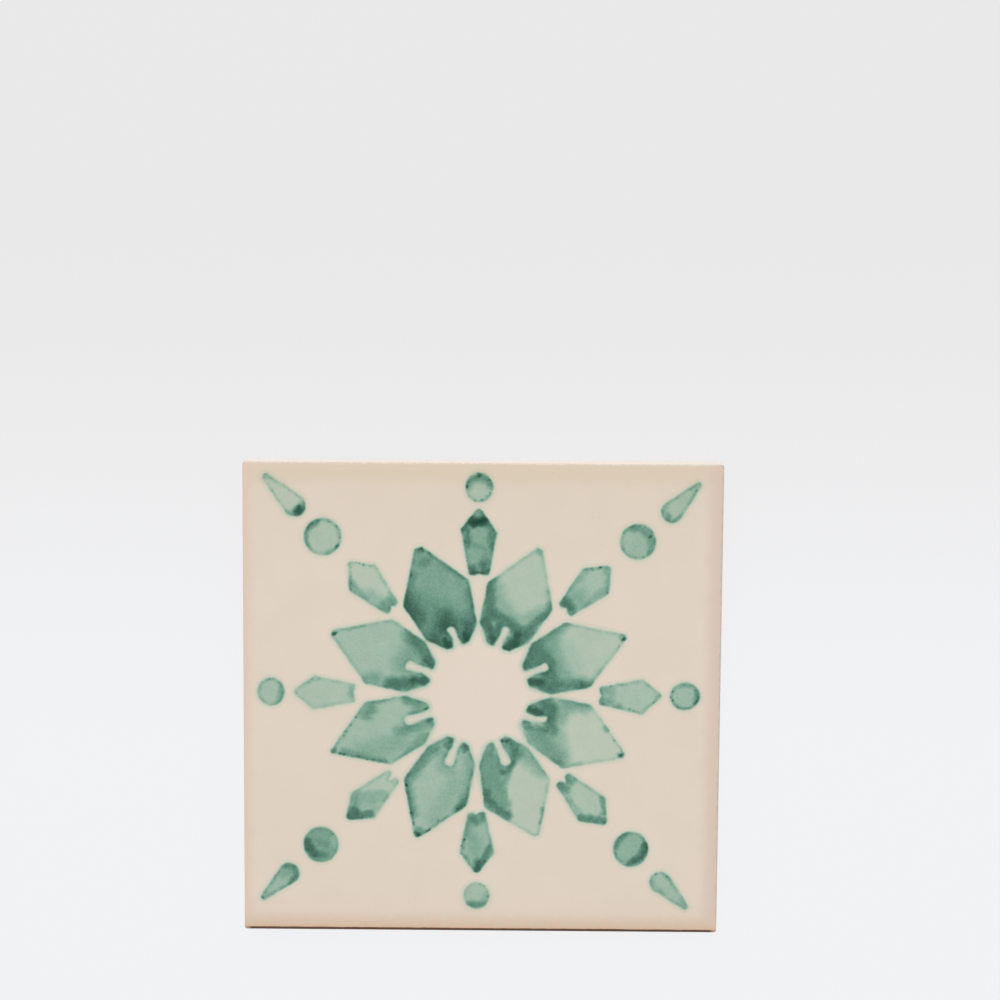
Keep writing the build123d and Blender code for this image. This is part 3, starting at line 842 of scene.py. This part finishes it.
def glazedEarthenware():
    material = bpy.data.materials.new("glazedEarthenware")
    material.use_nodes = True
    tree = material.node_tree
    add, maths, plus, times, step, noise = nodeTools(tree)
    surface = tree.nodes["Principled BSDF"]
    surface.inputs["IOR"].default_value = finish["refraction"]
    surface.inputs["Specular IOR Level"].default_value = finish["sheen"]

    objectPlace = add("ShaderNodeTexCoord").outputs["Object"]
    place = add("ShaderNodeMapping", {"Vector": objectPlace, "Scale": (metre, metre, metre)}).outputs[0]
    x, y, z = add("ShaderNodeSeparateXYZ", {0: place}).outputs[:3]
    flatPlace = add("ShaderNodeCombineXYZ", {0: x, 1: y}).outputs[0]
    fromMiddle = add("ShaderNodeVectorMath", {0: flatPlace}, operation="LENGTH").outputs["Value"]

    def mix(part, *colours):
        first, second = [colour if isinstance(colour, bpy.types.NodeSocket) else (*colour, 1.0)
                         for colour in colours]
        return add("ShaderNodeMix", {0: part, 6: first, 7: second}, data_type="RGBA").outputs[2]

    def stored(name):
        return add("ShaderNodeAttribute", attribute_name=name).outputs["Fac"]

    def drift(size, amount, detail=2.0):
        # Noise about nought
        return times(maths("SUBTRACT", noise(place, size, detail), 0.5), amount)

    def drifts(waves):
        total = drift(*waves[0])
        for wave in waves[1:]:
            total = plus(total, drift(*wave))
        return total

    def spots(kind, channel):
        # Small round spots, one in some of a pattern's cells
        pattern = add("ShaderNodeTexVoronoi", {"Vector": place, "Scale": 1 / kind["spacing"]})
        pick = add("ShaderNodeSeparateColor", {0: pattern.outputs["Color"]}).outputs[channel]
        return times(step(pattern.outputs["Distance"], *kind["edge"]), step(pick, *kind["share"]))

    def ridge(middle, width):
        # One at a distance from the outline, and nought a little to either side of it
        away = maths("DIVIDE", maths("SUBTRACT", distance, middle), width)
        return maths("EXPONENT", times(times(away, away), -1.0))

    # Green wash: how much pigment lies here
    distance = plus(stored("stencilDistance"), drifts(finish["wobble"]))
    inside = step(distance, *finish["inkEdge"])
    patches = step(noise(place, finish["rimPatch"]), *finish["rimSpan"])
    rimInk = times(times(stored("rim"), patches), ridge(*finish["rimRidge"]))
    beads = times(times(spots(finish["bead"], 0), stored("beads")), finish["beadStrength"])
    edgeInk = plus(rimInk, times(beads, ridge(*finish["beadRidge"])))
    wash = times(maths("MAXIMUM", stored("wash"), 0.0), plus(1.0, drifts(finish["streaks"])))
    haze = times(step(distance, *finish["haloEdge"]), step(fromMiddle, *finish["haloSpan"]))
    bleed = times(maths("SUBTRACT", 1.0, inside), haze)
    pigment = plus(times(inside, plus(wash, edgeInk)), bleed)
    limited = maths("MINIMUM", pigment, finish["deepest"])
    squared = times(limited, limited)
    left = []
    for depth, deepening in zip(finish["washDepth"], finish["washDeepening"]):
        taken = plus(times(pigment, depth), times(squared, deepening))
        left.append(maths("EXPONENT", times(taken, -1.0)))
    stain = add("ShaderNodeCombineColor", enumerate(left)).outputs[0]

    # Cream glaze, thinner and warmer towards the four sides, with painted shade along the cushion and arris
    # and a painted highlight on the upper arris
    cream = Vector(finish["cream"])
    pale, dark = cream * (1 + finish["creamMottle"]), cream * (1 - finish["creamMottle"])
    mottle = step(noise(place, finish["mottleSize"], 3.0), *finish["mottleSpan"])
    glaze = mix(mottle, dark, pale)
    glaze = mix(step(fromMiddle, *finish["middleSpan"]), glaze, finish["creamMiddle"])
    ragged = drift(*finish["tintDrift"])
    fromTop, fromFoot = maths("SUBTRACT", halfSide, y), plus(y, halfSide)
    inset = {
        "top": plus(fromTop, ragged),
        "frayedTop": plus(fromTop, drift(*finish["topDrift"])),
        "foot": plus(fromFoot, ragged),
        "right": plus(maths("SUBTRACT", halfSide, x), ragged),
        "left": plus(plus(x, halfSide), ragged),
    }
    for side, begin, full, strength, tint in finish["sideTintsAndShade"]:
        glaze = mix(step(inset[side], begin, full, 0.0, strength), glaze, finish[tint])
    stained = add("ShaderNodeMix", {0: 1.0, 6: glaze, 7: stain}, data_type="RGBA", blend_type="MULTIPLY")
    glazed = mix(spots(finish["specks"], 1), stained.outputs[2], finish["speck"])

    # Biscuit below the glaze's ragged lower edge
    grain = noise(place, *finish["grain"])
    biscuit = mix(step(grain, *finish["grainSpan"]), finish["biscuit"], finish["biscuitDust"])
    # Painted light: the upper side's biscuit made paler
    biscuit = mix(step(fromTop, *finish["litTopSideSpan"]), biscuit, finish["litTopSide"])
    bare = step(plus(z, drift(*finish["glazeFootDrift"])), *finish["glazeFoot"])
    colour = mix(bare, glazed, biscuit)

    # Painted shadow: a dark hairline along the lower arris
    lineInset = step(plus(fromFoot, drift(*finish["lineInsetDrift"])), *finish["lineInset"])
    lineHeight = step(plus(z, drift(*finish["lineHeightDrift"])), *finish["lineHeight"])
    lineEnds = step(maths("SUBTRACT", halfSide, maths("ABSOLUTE", x)), *finish["lineEnds"])
    colour = mix(times(times(lineInset, lineHeight), lineEnds), colour, finish["footShadowLine"])
    tree.links.new(colour, surface.inputs["Base Color"])
    gloss = plus(finish["glazeRoughness"], drift(*finish["roughnessDrift"]))
    roughness = add("ShaderNodeMix", {0: bare, 2: gloss, 3: finish["biscuitRoughness"]})
    tree.links.new(roughness.outputs[0], surface.inputs["Roughness"])

    # Orange peel in the glaze, open grain in the biscuit
    peel = times(noise(place, finish["peelSize"]), finish["peelHeight"])
    pores = times(grain, finish["grainHeight"])
    relief = add("ShaderNodeMix", {0: bare, 2: peel, 3: pores}).outputs[0]
    bump = add("ShaderNodeBump", {"Height": relief, "Strength": 1.0, "Distance": 1 / metre})
    tree.links.new(bump.outputs[0], surface.inputs["Normal"])
    return material


# Stage, in metres: a pale floor under soft light from beyond the tile's upper side
stage = {
    "floorHalf": 2.0,
    "holeHalf": 0.0693,  # opening below the tile, for a look at its back
    "floorFar": (0.820, 0.815, 0.820),
    "floorNear": (0.890, 0.895, 0.912),
    "floorFade": (0.14, -0.02),
    "floorRoughness": 0.9,
    "floorGlow": 0.92,  # how much of what the camera sees of the floor is its own colour, unshaded
    "worldStrength": 0.675,
    "keyPlace": (-0.35, 1.25, 1.3),
    "keySize": 1.5,
    "keyPower": 13.5,
    "fillPlace": (0.9, -0.5, 1.5),
    "fillSize": 1.6,
    "fillPower": 3.5,
}
view = {
    "lens": 108.0,
    "nearest": 0.02,
    "turn": (8.2044, -0.2692, -0.4302),  # degrees, from the tile's axes to the camera's
    "faceMiddle": (-0.005357, -0.058675, -0.880327),  # where the camera has the face's middle
}


def placeCamera():
    camera = newObject("camera", bpy.data.cameras.new("camera"))
    camera.data.lens = view["lens"]
    camera.data.clip_start = view["nearest"]
    turn = Euler([math.radians(angle) for angle in view["turn"]]).to_matrix().transposed()
    place = Vector((0, 0, tileHigh[2])) - turn @ Vector(view["faceMiddle"])
    camera.matrix_world = Matrix.Translation(place) @ turn.to_4x4()
    bpy.context.scene.camera = camera


def makeFloor():
    # Four strips round an opening
    corners = [(-1, -1), (1, -1), (1, 1), (-1, 1)]
    places = [(across * half, along * half, 0) for half in (stage["floorHalf"], stage["holeHalf"])
              for across, along in corners]
    strips = [(i, (i + 1) % 4, (i + 1) % 4 + 4, i + 4) for i in range(4)]
    mesh = bpy.data.meshes.new("floor")
    mesh.from_pydata(places, [], strips)
    floor = newObject("floor", mesh)
    material = bpy.data.materials.new("paleFloor")
    material.use_nodes = True
    tree = material.node_tree
    add, _, _, times, step, _ = nodeTools(tree)
    surface = tree.nodes["Principled BSDF"]
    surface.inputs["Roughness"].default_value = stage["floorRoughness"]
    surface.inputs["Specular IOR Level"].default_value = 0.0
    y = add("ShaderNodeSeparateXYZ", {0: add("ShaderNodeTexCoord").outputs["Object"]}).outputs[1]
    near = step(y, *stage["floorFade"])
    shades = {0: near, 6: (*stage["floorFar"], 1), 7: (*stage["floorNear"], 1)}
    colour = add("ShaderNodeMix", shades, data_type="RGBA").outputs[2]
    tree.links.new(colour, surface.inputs["Base Color"])
    paper = add("ShaderNodeEmission", {"Color": colour, "Strength": 1.0}).outputs[0]
    seen = times(add("ShaderNodeLightPath").outputs["Is Camera Ray"], stage["floorGlow"])
    both = add("ShaderNodeMixShader", {0: seen, 1: surface.outputs[0], 2: paper}).outputs[0]
    tree.links.new(both, tree.nodes["Material Output"].inputs["Surface"])
    mesh.materials.append(material)


def makeLights():
    world = bpy.data.worlds.new("studio")
    world.use_nodes = True
    world.node_tree.nodes["Background"].inputs["Color"].default_value = (1, 1, 1, 1)
    world.node_tree.nodes["Background"].inputs["Strength"].default_value = stage["worldStrength"]
    bpy.context.scene.world = world
    for name in ("key", "fill"):
        lamp = bpy.data.lights.new(name, "AREA")
        lamp.size = stage[name + "Size"]
        lamp.energy = stage[name + "Power"]
        place = Vector(stage[name + "Place"])
        turn = place.to_track_quat("Z", "Y").to_matrix()
        newObject(name, lamp).matrix_world = Matrix.Translation(place) @ turn.to_4x4()


bpy.context.scene.view_settings.view_transform = "Standard"
placeCamera()
makeFloor()
makeLights()
print("Camera, floor and lights placed")

tile = buildTile(glazedEarthenware())
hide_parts("azulejo_tile")
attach(tile, "root")
triangles = sum(len(polygon.vertices) - 2 for polygon in tile.data.polygons)
print("Tile made with", triangles, "triangles")
